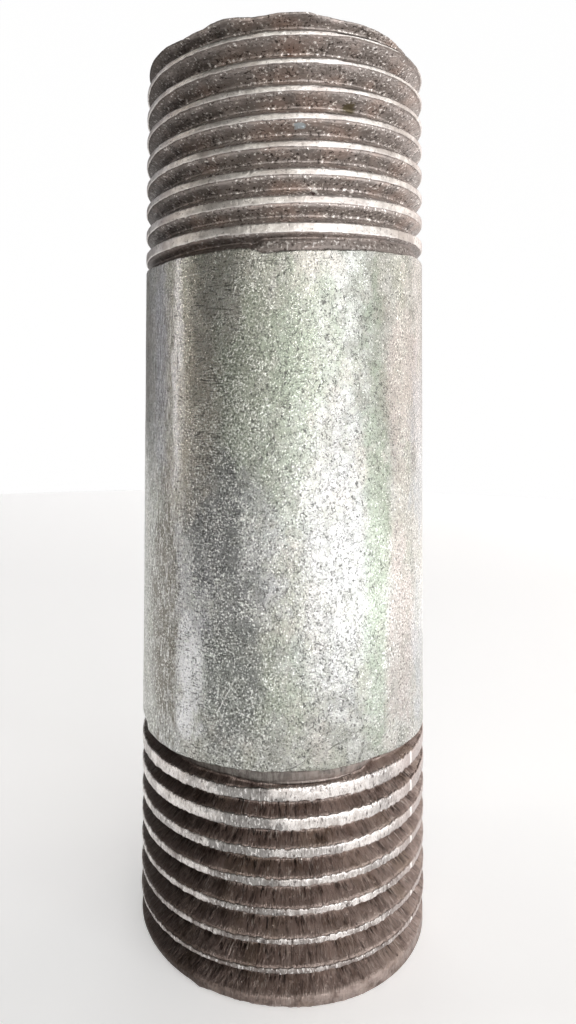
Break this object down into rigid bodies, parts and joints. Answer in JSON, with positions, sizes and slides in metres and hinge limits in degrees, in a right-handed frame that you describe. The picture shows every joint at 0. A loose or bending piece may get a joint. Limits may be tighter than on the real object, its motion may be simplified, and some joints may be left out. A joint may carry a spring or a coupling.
{
  "type": "threaded pipe nipple",
  "caption": "Short galvanised steel pipe nipple: a plain round barrel with a tapered right-hand pipe thread cut on each end, made to join two threaded fittings in a line.",
  "frame": {"origin": "centre of the lower end face, on the pipe's axis", "axes": "+Z along the pipe's axis from the lower end to the upper end, -Y towards the front, +X to the right seen from the front"},
  "size_m": [0.0214, 0.0214, 0.0635],
  "materials": {
    "cut_steel": "raw carbon steel, torn and oily where the die cut the thread, turned on the end faces",
    "barrel_zinc": "hot-dip galvanised zinc, satin with fine dark specks",
    "crest_zinc": "hot-dip galvanised zinc burnished bright by the die, with ragged edges",
    "bore_zinc": "hot-dip galvanised zinc, dull and slightly lumpy",
    "weld_steel": "flash of the pipe's weld seam, dark steel"
  },
  "bodies": {
    "root": {"steel_pipe": "cut_steel", "seam_weld_bead": "weld_steel", "barrel_zinc_coat": "barrel_zinc", "upper_crest_zinc": "crest_zinc", "lower_crest_zinc": "crest_zinc", "bore_zinc_lining": "bore_zinc"}
  },
  "joints": []
}
